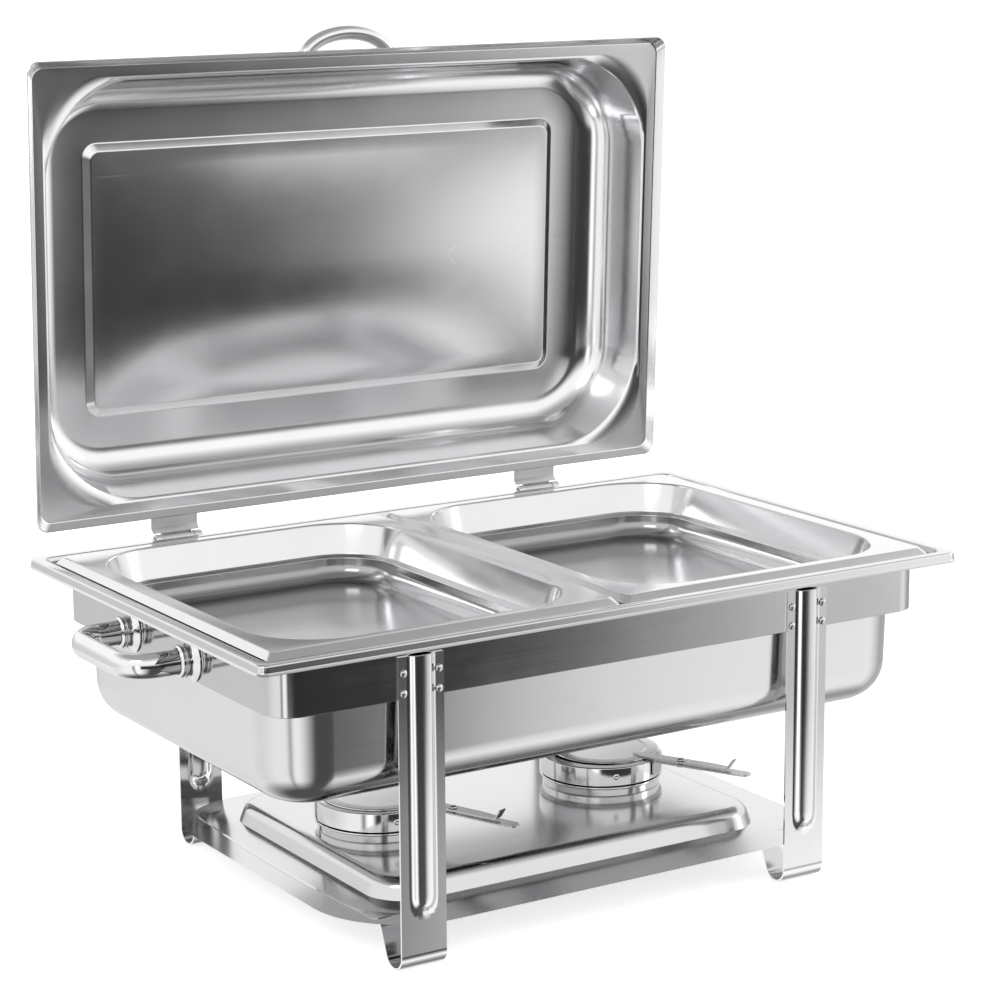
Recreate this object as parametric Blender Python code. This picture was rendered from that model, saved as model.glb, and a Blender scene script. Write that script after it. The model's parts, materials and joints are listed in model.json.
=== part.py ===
"""Chafing dish food warmer: a full-size hinged buffet warmer in sheet stainless steel.

Everything is written in millimetres and scaled to metres when a mesh is made.
X runs along the long side, the front is -Y, Z is up and the feet stand on Z = 0.
The lid is drawn closed, then turned about its hinge pins to stand open at its stop. Last,
everything moves along Y so that the origin is the middle of the open object's base.
"""

import math

import bmesh
import bpy
from mathutils import Matrix, Vector

METRES_PER_MM = 0.001
GAP = 0.3  # between two pieces that touch
CORNER_STEPS = 5  # facets in each rounded corner of a pan
ROUND_STEPS = 24  # facets round a fuel holder

# frame
SKIRT_HALF = (260.0, 159.6)
SKIRT_RADIUS = 20.0
SKIRT_SHEET = 1.2
SKIRT_BOTTOM = 184.0
SKIRT_TOP = 220.6
LEG_X = 156.0
LEG_HALF_WIDTH = 17.0
LEG_SHEET = 1.5
LEG_FACE = 161.4  # distance of a leg's outer face from the middle
LEG_TOP = 212.5
FOOT_CENTRE = (150.4, 11.0)
FOOT_RADIUS = 11.0
FOOT_TAB_END = 106.0
RIB_HALF_WIDTH = 10.2
RIB_HEIGHT = 3.5
RIB_END = 39.0
RIVET_X = 13.2
RIVET_Z = (188.2, 201.6)
RIVET_SHANK = 1.6

# shelf under the fuel holders
SHELF_TOP = 28.9
SHELF_HALF = (175.3, 129.0)
SHELF_BOW = (6.6, 5.5)
SHELF_SHEET = 1.0
PLATFORM_HALF = (157.3, 116.4)
PLATFORM_TOP = 42.6

# pans, all in the same sheet
PAN_SHEET = 0.8
WATER_HALF = (256.5, 153.5)
WATER_FLOOR = 116.0
LEDGE_TOP = 222.9
RIM_TOP = 226.3
FOOD_X = 133.0
FOOD_HALF = (132.5, 162.5)
FOOD_TOP = 228.4
FOOD_DEPTH = 40.0
FOOD_NARROWER = 3.0
RIM_EDGE = 8.0  # outermost part of a rim, the same all round

# lid, drawn closed
LID_HALF = (268.0, 166.35)
LID_EDGE = 223.6  # lower edge of its turned lip
LID_FACE = 228.8  # underside of its flange
LID_FLOOR = 283.5
LID_OPENING = (255.5, 154.0)
HINGE_AXIS = (183.4, 224.5)  # y and z of the hinge pins
LID_OPEN_ANGLE = math.radians(87.56)

# hinges
HINGE_X = 157.7
HINGE_HALF_WIDTH = 18.5
LEAF_SHEET = 1.2
BRACKET_SHEET = 1.5
BARREL_RADIUS = 2.9
PIN_RADIUS = 1.8

# handles
HANDLE_Z = 198.5
HANDLE_SPACING = 45.0
HANDLE_REACH = 305.5
HANDLE_OVAL = (6.5, 8.5)
LID_HANDLE_Z = 254.5
LID_HANDLE_HALF = 36.4
LID_HANDLE_REACH = 176.2
LID_HANDLE_RADIUS = 5.5

# fuel holders: middle x and y, direction of the carrying strip, and how far the cover stands open
FUEL_HOLDERS = {"left": (-97.0, 0.0, -68.5, 0.0), "right": (93.0, 0.0, -62.7, 5.0)}
CUP_BOTTOM = PLATFORM_TOP + GAP
CUP_RADIUS = 43.0
BAND_RADIUS = 45.3
BAND_TOP = 66.0
BAND_OPENING = 34.0
COVER_RADIUS = 39.5
PIVOT_REACH = 66.0


def start_scene():
    for thing in list(bpy.data.objects):
        bpy.data.objects.remove(thing, do_unlink=True)
    scene = bpy.context.scene
    parts = bpy.data.collections.new("chafing_dish_food_warmer")
    cutters = bpy.data.collections.new("cutters")
    cutters.hide_render = True
    scene.collection.children.link(parts)
    scene.collection.children.link(cutters)
    return parts, cutters


PARTS, CUTTERS = start_scene()


def steel(name, grey, roughness):
    material = bpy.data.materials.new(name + "_steel")
    material.use_nodes = True
    shader = material.node_tree.nodes["Principled BSDF"]
    shader.inputs["Base Color"].default_value = (grey, grey, grey * 1.01, 1.0)
    shader.inputs["Metallic"].default_value = 1.0
    shader.inputs["Roughness"].default_value = roughness
    return material


def place(name, mesh, origin=(0, 0, 0), grey=0.62, roughness=0.22):
    """Makes the object of one piece from a mesh in millimetres, with its origin at a point."""
    bmesh.ops.translate(mesh, verts=mesh.verts, vec=-Vector(origin))
    bmesh.ops.scale(mesh, verts=mesh.verts, vec=(METRES_PER_MM,) * 3)
    bmesh.ops.recalc_face_normals(mesh, faces=mesh.faces)
    data = bpy.data.meshes.new(name)
    mesh.to_mesh(data)
    mesh.free()
    piece = bpy.data.objects.new(name, data)
    piece.location = Vector(origin) * METRES_PER_MM
    piece.data.materials.append(steel(name, grey, roughness))
    PARTS.objects.link(piece)
    return piece


def cutter(name, mesh):
    piece = place(name, mesh)
    PARTS.objects.unlink(piece)
    CUTTERS.objects.link(piece)
    piece.hide_render = True
    piece.display_type = "WIRE"
    return piece


def cut(piece, tool):
    change = piece.modifiers.new("cut " + tool.name, "BOOLEAN")
    change.operation = "DIFFERENCE"
    change.solver = "EXACT"
    change.object = tool
    return piece


def loft(rings, closed=False):
    """Skins the rings in order. An open run gets a cap at each end."""
    mesh = bmesh.new()
    loops = [[mesh.verts.new(point) for point in ring] for ring in rings]
    following = loops[1:] + loops[:1] if closed else loops[1:]
    for low, high in zip(loops, following):
        for i, first in enumerate(low):
            j = (i + 1) % len(low)
            mesh.faces.new((first, low[j], high[j], high[i]))
    if not closed:
        mesh.faces.new(loops[0])
        mesh.faces.new(loops[-1])
    return mesh


def box(low, high):
    mesh = bmesh.new()
    size = Vector(high) - Vector(low)
    middle = (Vector(high) + Vector(low)) / 2
    bmesh.ops.create_cube(mesh, size=1.0, matrix=Matrix.Translation(middle) @ Matrix.Diagonal((*size, 1.0)))
    return mesh


def arc(centre, radius, start, end, steps):
    """Points on an arc in a plane, with its angles in degrees."""
    turns = [math.radians(start + (end - start) * i / steps) for i in range(steps + 1)]
    return [(centre[0] + radius * math.cos(a), centre[1] + radius * math.sin(a)) for a in turns]


def rounded_ring(half, radius, z, bow=(0.0, 0.0), side_steps=1):
    """Points round a rectangle with rounded corners, whose sides may bow outwards."""
    points = []
    for start, (side_x, side_y) in zip((270, 0, 90, 180), ((1, -1), (1, 1), (-1, 1), (-1, -1))):
        centre = (side_x * (half[0] - radius), side_y * (half[1] - radius))
        points += arc(centre, radius, start, start + 90, CORNER_STEPS)
    ring = []
    for i, point in enumerate(points):
        ring.append(point)
        if i % (CORNER_STEPS + 1) == CORNER_STEPS:
            nxt = points[(i + 1) % len(points)]
            shares = [k / side_steps for k in range(1, side_steps)]
            ring += [tuple(a + (b - a) * t for a, b in zip(point, nxt)) for t in shares]
    return [
        (
            x * (1 + bow[0] / half[0] * (1 - min(1, abs(y) / half[1]) ** 2)),
            y * (1 + bow[1] / half[1] * (1 - min(1, abs(x) / half[0]) ** 2)),
            z,
        )
        for x, y in ring
    ]


def circle(radius, z, centre=(0.0, 0.0), steps=ROUND_STEPS):
    return [(x, y, z) for x, y in arc(centre, radius, 0, 360, steps)[:-1]]


def beside(profile, distance):
    """A line of (out, z) points moved to its left by a distance, mitred where it bends."""
    normals = []
    for (a, b), (c, d) in zip(profile, profile[1:]):
        run = math.hypot(c - a, d - b)
        normals.append(((b - d) / run, (c - a) / run))
    moved = []
    for i, (out, z) in enumerate(profile):
        before, after = normals[max(i - 1, 0)], normals[min(i, len(normals) - 1)]
        x, y = before[0] + after[0], before[1] + after[1]
        share = 2 * distance / (x * x + y * y)
        moved.append((out + x * share, z + y * share))
    return moved


def pressed_pan(half, profile, radii, sheet, centre=(0.0, 0.0), narrower=0.0):
    """A sheet drawn along a profile of (out, z) from its floor to its rim edge.

    `out` is measured from the half sizes, and each point has its own corner radius. The
    rim may be narrower at the ends in Y than at the sides: the pan inside it is longer.
    """
    other = beside(profile, sheet)
    run = list(zip(profile, radii)) + [
        (point, radius + point[0] - near[0]) for point, near, radius in zip(other, profile, radii)
    ][::-1]
    rings = []
    for (out, z), radius in run:
        longer = narrower if out < -RIM_EDGE else 0.0
        ring = rounded_ring((half[0] + out, half[1] + out + longer), radius, z)
        rings.append([(x + centre[0], y + centre[1], height) for x, y, height in ring])
    return loft(rings)


def turned(profile, sheet, centre, steps=ROUND_STEPS):
    """A round sheet piece from a profile of (radius, z) that starts on its floor."""
    run = profile + beside(profile, sheet)[::-1]
    return loft([circle(radius, z, centre, steps) for radius, z in run])


def strip(path, sheet, low_x, high_x):
    """A bent strip along a path of (y, z), as wide as the X range, to the left of the path."""
    section = path + beside(path, sheet)[::-1]
    return loft([[(x, y, z) for y, z in section] for x in (low_x, high_x)])


def spool(profile, base, axis, steps=10):
    """A solid turned about an axis through a point, from (radius, distance) pairs."""
    turn = Vector((0, 0, 1)).rotation_difference(Vector(axis)).to_matrix()
    rings = []
    for radius, along in profile:
        ring = [turn @ Vector(point) + Vector(base) for point in circle(radius, along, steps=steps)]
        rings.append(ring)
    return loft(rings)


def joined(meshes):
    whole = bmesh.new()
    for mesh in meshes:
        data = bpy.data.meshes.new("piece")
        mesh.to_mesh(data)
        mesh.free()
        whole.from_mesh(data)
        bpy.data.meshes.remove(data)
    return whole


def mirror(mesh, side_x, side_y):
    bmesh.ops.scale(mesh, verts=mesh.verts, vec=(side_x, side_y, 1))
    return mesh


# ---- frame -------------------------------------------------------------------------------

SIDES = {"left": -1, "right": 1}
ENDS = {"front": -1, "back": 1}
CORNERS = [(f"{end}_{side}", SIDES[side], ENDS[end]) for end in ENDS for side in SIDES]


def rivet_places():
    for name, side_x, side_y in CORNERS:
        spots = [(x, z) for z in RIVET_Z for x in (-RIVET_X, RIVET_X)]
        for number, (x, z) in enumerate(spots, start=1):
            yield f"rivet_{name}_{number}", side_x * LEG_X + x, side_y, z


def rivet_holes():
    reach = (SKIRT_HALF[1] - 5, LEG_FACE + 5)
    drills = [
        spool([(RIVET_SHANK + GAP, reach[0]), (RIVET_SHANK + GAP, reach[1])], (x, 0, z), (0, side_y, 0), 8)
        for _, x, side_y, z in rivet_places()
    ]
    return cutter("rivet_holes", joined(drills))


def build_skirt(holes):
    inner = (SKIRT_HALF[0] - SKIRT_SHEET, SKIRT_HALF[1] - SKIRT_SHEET)
    section = [
        (SKIRT_HALF, SKIRT_RADIUS, SKIRT_BOTTOM),
        (SKIRT_HALF, SKIRT_RADIUS, SKIRT_TOP),
        (inner, SKIRT_RADIUS - SKIRT_SHEET, SKIRT_TOP),
        (inner, SKIRT_RADIUS - SKIRT_SHEET, SKIRT_BOTTOM),
    ]
    cut(place("skirt", loft([rounded_ring(*ring) for ring in section], closed=True)), holes)


def leg_path():
    """The outer face of a leg as (distance from the middle, z), from its top to its shelf tab."""
    step = 22.5
    vertex_radius = FOOT_RADIUS / math.cos(math.radians(step / 2))
    hook = arc(FOOT_CENTRE, vertex_radius, -step / 2, -6.5 * step, 6)
    tab_z = SHELF_TOP - SHELF_SHEET - GAP - LEG_SHEET
    slope = math.tan(math.radians(7 * step))
    last = hook[-1]
    tab_start = (last[0] - (tab_z - last[1]) * abs(slope), tab_z)
    rows = [LEG_TOP, 140.0, RIB_END + 15, RIB_END + 11, RIB_END + 6, RIB_END + 2, RIB_END]
    return [(LEG_FACE, z) for z in rows] + hook + [tab_start, (FOOT_TAB_END, tab_z)]


def rib_height(x, z):
    """How far the pressed rib stands out of a leg, with a rounded lower end."""
    fall = max(0.0, (RIB_END + 15 - z) / 15)
    return RIB_HEIGHT * math.sqrt(max(0.0, 1 - (x / RIB_HALF_WIDTH) ** 2 - fall**2))


def build_leg(name, side_x, side_y, holes):
    outer = leg_path()
    inner = beside(outer, -LEG_SHEET)
    across = [-LEG_HALF_WIDTH, -RIB_HALF_WIDTH, -6.5, 0, 6.5, RIB_HALF_WIDTH, LEG_HALF_WIDTH]
    rings = []
    for x in across:
        bulge = [rib_height(x, z) if z >= RIB_END else 0.0 for _, z in outer]
        front = [(x, y + rise, z) for (y, z), rise in zip(outer, bulge)]
        back = [(x, y + rise, z) for (y, z), rise in zip(inner, bulge)]
        rings.append(front + back[::-1])
    leg = mirror(loft(rings), 1, side_y)
    bmesh.ops.translate(leg, verts=leg.verts, vec=(side_x * LEG_X, 0, 0))
    cut(place(f"leg_{name}", leg, roughness=0.12), holes)


def build_rivets():
    inside = SKIRT_HALF[1] - SKIRT_SHEET - GAP
    for name, x, side_y, z in rivet_places():
        outside = LEG_FACE + GAP + (BRACKET_SHEET + GAP if side_y > 0 else 0)
        profile = [(2.4, inside - 0.7), (2.4, inside), (RIVET_SHANK, inside), (RIVET_SHANK, outside)]
        profile += [(2.6, outside), (1.6, outside + 1.2)]
        rivet = spool(profile, (x, 0, z), (0, side_y, 0), 8)
        place(name, rivet, (x, side_y * LEG_FACE, z), 0.7, 0.15)


def build_shelf():
    low = SHELF_TOP
    lip = [(PLATFORM_HALF[0] - out, PLATFORM_HALF[1] - out) for out in (0, 2.5, 4.5, 8.5, 14.0)]
    heights = (low, low + 4.0, low + 8.5, low + 12.4, PLATFORM_TOP)
    radii = (28, 26, 25, 22, 17)
    steps = 3
    top = [rounded_ring(SHELF_HALF, 4, low, SHELF_BOW, steps)]
    top += [rounded_ring(half, r, z, side_steps=steps) for half, r, z in zip(lip, radii, heights)]
    under_half = [(x - 0.6, y - 0.6) for x, y in lip]
    under = [rounded_ring(SHELF_HALF, 4, low - SHELF_SHEET, SHELF_BOW, steps)]
    under += [
        rounded_ring(half, r, z - SHELF_SHEET, side_steps=steps)
        for half, r, z in zip(under_half, radii, heights)
    ]
    place("shelf", loft(top[::-1] + under), grey=0.58, roughness=0.28)


# ---- pans --------------------------------------------------------------------------------


def build_water_pan():
    floor, bend = WATER_FLOOR + PAN_SHEET, 30.0
    wall = -PAN_SHEET
    profile = [(-40.0, floor)] + arc((wall - bend - 2, floor + bend), bend, 270, 360, 4)
    profile += [(wall, LEDGE_TOP - 4), (0.8, LEDGE_TOP - 1), (3.5, LEDGE_TOP), (13.7, LEDGE_TOP)]
    profile += [(15.7, RIM_TOP), (20.9, RIM_TOP), (22.7, RIM_TOP - 1.8), (22.9, RIM_TOP - 5.4)]
    profile += [(23.9, RIM_TOP - 6.7)]
    radii = [12] + [14, 21, 28, 34, 39] + [40, 40, 40, 11, 9, 8, 8, 8, 8]
    mesh = pressed_pan(WATER_HALF, profile, radii, -PAN_SHEET)
    place("water_pan", mesh, (0, 0, LEDGE_TOP), roughness=0.3)


def build_food_pans():
    floor, lower, upper = FOOD_TOP - FOOD_DEPTH, -26.5, -19.5
    profile = [(lower - 30, floor)]
    profile += arc((lower - 14, floor + 14), 14, 270, 360, 4)
    profile += [(lower + 1.0, FOOD_TOP - 23.4), (upper - 2.0, FOOD_TOP - 21.4), (upper + 1.6, FOOD_TOP - 2.6)]
    profile += [(upper + 3.6, FOOD_TOP), (-5.0, FOOD_TOP), (-3.4, FOOD_TOP - 1.2), (0.0, FOOD_TOP - 4.6)]
    radii = [14, 28, 33, 38, 41, 42, 43, 46, 50, 52, 5, 5, 6]
    for side, sign in SIDES.items():
        mesh = pressed_pan(FOOD_HALF, profile, radii, -PAN_SHEET, (sign * FOOD_X, 0.0), FOOD_NARROWER)
        place(f"food_pan_{side}", mesh, (sign * FOOD_X, 0, FOOD_TOP), roughness=0.26)


# ---- lid ---------------------------------------------------------------------------------


def opened(mesh):
    """Turns a closed lid piece about the hinge pins to where it stands open."""
    pivot = Vector((0, *HINGE_AXIS))
    turn = Matrix.Rotation(-LID_OPEN_ANGLE, 3, "X")
    bmesh.ops.rotate(mesh, verts=mesh.verts, cent=pivot, matrix=turn)
    return mesh


def build_lid():
    edge = LID_HALF[0]
    mouth = LID_OPENING[0] - edge
    panel_out, panel_in = 203.0 - edge, 196.4 - edge
    floor = LID_FLOOR
    profile = [(panel_in - 8, floor - 3.2), (panel_in, floor - 3.2), (panel_out, floor), (-42.0, floor)]
    profile += arc((-42.0, floor - 22), 22, 90, 4, 3)[1:]
    profile += [(mouth - 2.6, LID_FACE + 2.6), (mouth, LID_FACE)]
    profile += [(-5.0, LID_FACE), (-3.4, LID_FACE - 1.2), (0.0, LID_EDGE)]
    radii = [5, 6, 11, 34, 45, 56, 62, 70, 72, 8, 8, 9]
    half = (edge, LID_HALF[1])
    mesh = pressed_pan(half, profile, radii, PAN_SHEET)
    place("lid", opened(mesh), (0, *HINGE_AXIS), roughness=0.2)


# ---- handles -----------------------------------------------------------------------------


def swept_oval(path, half_wide, half_high, steps=12):
    """A bar along a level path of (x, y, z), with an oval section."""
    rings = []
    for i, point in enumerate(path):
        ahead = Vector(path[min(i + 1, len(path) - 1)]) - Vector(path[max(i - 1, 0)])
        sideways = Vector((-ahead.y, ahead.x, 0)).normalized()
        ring = [
            Vector(point) + sideways * half_wide * math.cos(a) + Vector((0, 0, half_high * math.sin(a)))
            for a in [2 * math.pi * k / steps for k in range(steps)]
        ]
        rings.append(ring)
    return loft(rings)


def oval_ring(x, y, z, half_y, half_z, steps=12):
    turns = [2 * math.pi * k / steps for k in range(steps)]
    return [(x, y + half_y * math.cos(a), z + half_z * math.sin(a)) for a in turns]


def build_side_handles():
    bend, start = 17.0, SKIRT_HALF[0] + 6.5
    for side, sign in SIDES.items():
        quarter = arc((HANDLE_REACH - bend, HANDLE_SPACING - bend), bend, 90, 0, 5)
        half = [(start, HANDLE_SPACING), (start + 8, HANDLE_SPACING)] + quarter
        plan = half + [(x, -y) for x, y in half[::-1]]
        path = [(sign * x, y, HANDLE_Z) for x, y in plan]
        place(f"side_handle_{side}", swept_oval(path, *HANDLE_OVAL), roughness=0.1)
        for end, sign_y in ENDS.items():
            build_side_ferrule(f"ferrule_{side}_{end}", sign, sign_y * HANDLE_SPACING)


def build_side_ferrule(name, sign, y):
    """A cast socket with a flared foot on the skirt's end and a collar round the handle."""
    face, wide, high = SKIRT_HALF[0] + GAP, *HANDLE_OVAL
    outside = [(face, 6.5), (face + 1.0, 6.0), (face + 3.0, 2.6), (face + 5.0, 1.9)]
    outside += [(face + 6.0, 2.6), (face + 10.5, 2.6), (face + 11.5, 1.6)]
    inside = [(face + 11.5, GAP), (SKIRT_HALF[0] + 6.5 - GAP, GAP)]
    rings = [oval_ring(sign * x, y, HANDLE_Z, wide + out, high + out) for x, out in outside + inside]
    place(name, loft(rings), roughness=0.12)


def build_lid_handle():
    wall = -(LID_HALF[1] - 16.2)
    turns = [math.radians(180 * i / 14) for i in range(15)]
    base, rise = wall - 6.0, LID_HANDLE_REACH + wall - 6.0
    arch = [(-LID_HANDLE_HALF * math.cos(a), base - rise * math.sin(a), LID_HANDLE_Z) for a in turns]
    stub = [(-LID_HANDLE_HALF, wall - 2.0, LID_HANDLE_Z)]
    path = stub + arch + [(LID_HANDLE_HALF, wall - 2.0, LID_HANDLE_Z)]
    bar = swept_oval(path, LID_HANDLE_RADIUS, LID_HANDLE_RADIUS)
    place("lid_handle", opened(bar), roughness=0.1)
    radius = LID_HANDLE_RADIUS
    profile = [(radius + 3.0, 0), (radius + 2.4, 0.8), (radius + 1.6, 2.0), (radius + 1.6, 6.0)]
    profile += [(radius + GAP, 6.0), (radius + GAP, 2.0 - GAP)]
    for side, sign in SIDES.items():
        foot = (sign * LID_HANDLE_HALF, wall, LID_HANDLE_Z)
        ferrule = spool(profile, foot, (0, -1, 0), steps=14)
        place(f"lid_ferrule_{side}", opened(ferrule), roughness=0.12)


# ---- hinges ------------------------------------------------------------------------------


def build_hinges(holes):
    y, z = HINGE_AXIS
    leaf_z = LID_FACE + PAN_SHEET + GAP
    round_pin = BARREL_RADIUS - LEAF_SHEET / 2
    curl = arc((y, z), round_pin, 90, -150, 8)
    leaf_path = [(y - 26.0, leaf_z), (y - 7.6, leaf_z), (y - 4.2, z + round_pin)] + curl
    bracket_in = LEG_FACE + GAP
    round_in = BARREL_RADIUS - BRACKET_SHEET / 2
    over = arc((y, z), round_in, 0, 240, 8)
    foot_path = [(bracket_in, RIVET_Z[0] - 5), (bracket_in, 215.0)]
    foot_path += [(y - 1.2, 215.0), (y + round_in, 218.0)] + over
    middle = BARREL_RADIUS + BRACKET_SHEET / 2 + GAP
    for side, sign in SIDES.items():
        x = sign * HINGE_X
        ends = [
            box((x + low, y - middle, z - middle), (x + high, y + middle, z + middle))
            for low, high in ((-30, -12.2), (12.2, 30))
        ]
        knuckle_gap = cutter(f"knuckle_gap_{side}", opened(joined(ends)))
        leaf = strip(leaf_path, LEAF_SHEET, x - HINGE_HALF_WIDTH, x + HINGE_HALF_WIDTH)
        cut(place(f"hinge_leaf_{side}", opened(leaf), (x, y, z), roughness=0.35), knuckle_gap)
        windows = [
            box((x - 12.6, y - 6, z - 6), (x + 12.6, y + 6, z + 6)),
            box(
                (sign * LEG_X - RIB_HALF_WIDTH - 0.7, LEG_FACE - 2, 170),
                (sign * LEG_X + RIB_HALF_WIDTH + 0.7, LEG_FACE + 5, 213.0),
            ),
        ]
        window = cutter(f"bracket_windows_{side}", joined(windows))
        bracket = strip(foot_path, -BRACKET_SHEET, x - HINGE_HALF_WIDTH, x + HINGE_HALF_WIDTH)
        cut(cut(place(f"hinge_bracket_{side}", bracket, roughness=0.35), window), holes)
        pin = spool([(PIN_RADIUS - 0.3, -20.0), (PIN_RADIUS - 0.3, 20.0)], (x, y, z), (1, 0, 0), 12)
        place(f"hinge_pin_{side}", pin, (x, y, z), roughness=0.2)


# ---- fuel holders ------------------------------------------------------------------------


def at_holder(mesh, centre, degrees):
    bmesh.ops.rotate(mesh, verts=mesh.verts, matrix=Matrix.Rotation(math.radians(degrees), 3, "Z"))
    bmesh.ops.translate(mesh, verts=mesh.verts, vec=(*centre, 0))
    return mesh


def bent_bar(path, sheet, half_width):
    """A flat strip along local X, from a path of (x, z), to the right of the path."""
    section = path + beside(path, -sheet)[::-1]
    return loft([[(x, y, z) for x, z in section] for y in (-half_width, half_width)])


def build_fuel_holder(side, x, y, degrees, ajar):
    centre = (x, y)
    low, wall = CUP_BOTTOM, CUP_RADIUS
    cup = [(30.0, low), (wall - 1.5, low), (wall, low + 1.5), (wall, low + 5.8), (wall + 2.4, low + 7.0)]
    cup += [(wall + 2.4, low + 7.8), (wall, low + 8.8), (wall, low + 19.0)]
    place(f"fuel_cup_{side}", turned(cup, PAN_SHEET, centre), (x, y, low), roughness=0.14)
    bottom = low + 8.8 + 0.8 + GAP
    band = [
        (BAND_RADIUS, bottom),
        (BAND_RADIUS, BAND_TOP - 0.6),
        (BAND_RADIUS - 0.6, BAND_TOP),
        (BAND_OPENING, BAND_TOP),
    ]
    run = band + beside(band, PAN_SHEET)[::-1]
    rings = [circle(radius, z, centre) for radius, z in run]
    place(f"fuel_band_{side}", loft(rings, closed=True), (x, y, BAND_TOP), roughness=0.12)

    out = BAND_RADIUS + GAP
    tip = PIVOT_REACH + 56.0
    carry = [(out + 1.0, BAND_TOP - 12), (out + 1.0, BAND_TOP - 1.0), (tip, BAND_TOP - 1.0)]
    hole = spool([(1.9, 55.0), (1.9, 75.0)], (PIVOT_REACH, 0, 0), (0, 0, 1), 12)
    drill = cutter(f"pivot_hole_{side}", at_holder(hole, centre, degrees))
    strap = bent_bar(carry, -1.0, 6.0)
    place_strap = place(f"fuel_handle_{side}", at_holder(strap, centre, degrees), roughness=0.15)
    cut(place_strap, drill)

    pivot = Vector((PIVOT_REACH, 0, 0))
    pivot.rotate(Matrix.Rotation(math.radians(degrees), 3, "Z"))
    pivot += Vector((x, y, BAND_TOP))
    swing = Matrix.Rotation(math.radians(-ajar), 3, "Z")
    cover_low = BAND_TOP + GAP
    disc = at_holder(loft([circle(COVER_RADIUS, cover_low), circle(COVER_RADIUS, cover_low + 0.8)]), centre, 0)
    lever_z = cover_low + 0.8 + GAP
    reach = PIVOT_REACH + 38.0
    lever_path = [(27.0, lever_z), (reach, lever_z), (reach + 4.0, lever_z + 6.5)]
    lever = at_holder(bent_bar(lever_path, -1.0, 5.0), centre, degrees)
    bmesh.ops.rotate(disc, verts=disc.verts, cent=pivot, matrix=swing)
    place(f"cover_disc_{side}", disc, pivot, roughness=0.2)
    cut(place(f"cover_lever_{side}", lever, pivot, roughness=0.15), drill)
    top = lever_z - BAND_TOP
    profile = [(3.0, -2.3), (3.0, -1.3), (1.6, -1.3), (1.6, GAP), (3.6, GAP), (3.6, top - GAP)]
    profile += [(1.6, top - GAP), (1.6, top + 1.3), (3.2, top + 1.3), (1.6, top + 2.6)]
    place(f"cover_pivot_{side}", spool(profile, pivot, (0, 0, 1), 8), pivot, roughness=0.15)


# ---- assembly ----------------------------------------------------------------------------


def centre_over_origin():
    """Slides everything along Y until the open object's box is centred on the origin."""
    bpy.context.view_layer.update()
    depths = [(piece.matrix_world @ v.co).y for piece in PARTS.objects for v in piece.data.vertices]
    shift = -(min(depths) + max(depths)) / 2
    for piece in list(PARTS.objects) + list(CUTTERS.objects):
        piece.location.y += shift


def build():
    holes = rivet_holes()
    build_skirt(holes)
    for name, side_x, side_y in CORNERS:
        build_leg(name, side_x, side_y, holes)
    build_rivets()
    build_shelf()
    build_water_pan()
    build_food_pans()
    build_lid()
    build_side_handles()
    build_lid_handle()
    build_hinges(holes)
    for side, placing in FUEL_HOLDERS.items():
        build_fuel_holder(side, *placing)
    centre_over_origin()


build()
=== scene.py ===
"""The looks of the chafing dish food warmer: fine sheet-metal pieces, steel finishes and a studio.

Lengths are in millimetres from the middle of the stand, with Z up from the table, and become
metres when a piece is made. The lid's pieces are drawn shut and then opened about the hinge.
"""

import json
import math

import bmesh
import bpy
import numpy as np
from mathutils import Matrix, Vector


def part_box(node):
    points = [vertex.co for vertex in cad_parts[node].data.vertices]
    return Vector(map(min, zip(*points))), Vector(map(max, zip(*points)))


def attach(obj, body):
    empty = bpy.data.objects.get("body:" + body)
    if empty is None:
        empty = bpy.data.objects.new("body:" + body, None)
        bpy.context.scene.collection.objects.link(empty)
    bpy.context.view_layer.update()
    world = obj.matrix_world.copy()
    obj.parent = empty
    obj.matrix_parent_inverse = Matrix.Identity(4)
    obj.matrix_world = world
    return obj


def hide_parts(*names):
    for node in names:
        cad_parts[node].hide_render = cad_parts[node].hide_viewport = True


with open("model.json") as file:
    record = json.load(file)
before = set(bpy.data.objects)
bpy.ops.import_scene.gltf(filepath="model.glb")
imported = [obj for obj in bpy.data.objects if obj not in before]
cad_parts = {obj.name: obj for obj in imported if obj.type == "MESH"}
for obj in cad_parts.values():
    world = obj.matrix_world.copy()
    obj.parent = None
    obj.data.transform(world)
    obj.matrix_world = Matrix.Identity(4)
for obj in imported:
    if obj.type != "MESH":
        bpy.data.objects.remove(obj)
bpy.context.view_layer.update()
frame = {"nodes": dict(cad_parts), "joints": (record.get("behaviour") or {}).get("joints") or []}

METRES_PER_MM = 0.001
SIDES = {"left": -1, "right": 1}
ENDS = {"front": -1, "back": 1}
CORNERS = [(f"{end}_{side}", SIDES[side], ENDS[end]) for end in ENDS for side in SIDES]
JOINTS = {joint["name"]: joint for joint in frame["joints"]}

# how finely curves are drawn
CORNER_STEPS = 16
ROUND_STEPS = 96
BEND_STEPS = 7
FERRULE_STEPS = 40
ARCH_STEPS = 40
UPRIGHT_STEPS = 64
ACROSS_STEPS = 48
SHELF_SIDE_STEPS = 16
LID_SIDE_STEPS = 24
PANEL_RINGS = 10

# where things are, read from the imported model
SKIRT_LOW, SKIRT_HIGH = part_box("skirt")
MIDDLE = Vector(((SKIRT_LOW.x + SKIRT_HIGH.x) / 2, (SKIRT_LOW.y + SKIRT_HIGH.y) / 2, 0))
HINGE = (Vector(JOINTS["lid_hinge"]["pos_m"]) - MIDDLE) / METRES_PER_MM
LID_OPEN_ANGLE = math.radians(-JOINTS["lid_hinge"]["range_deg"][0])

# sheet thicknesses, and the gap between pieces that lie close together
PAN_SHEET = 0.8
SKIRT_SHEET = 1.2
LEG_SHEET = 1.5
SHELF_SHEET = 1.0
LEVER_SHEET = 1.0
BRACKET_SHEET = 1.5
GAP = 0.3

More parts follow.
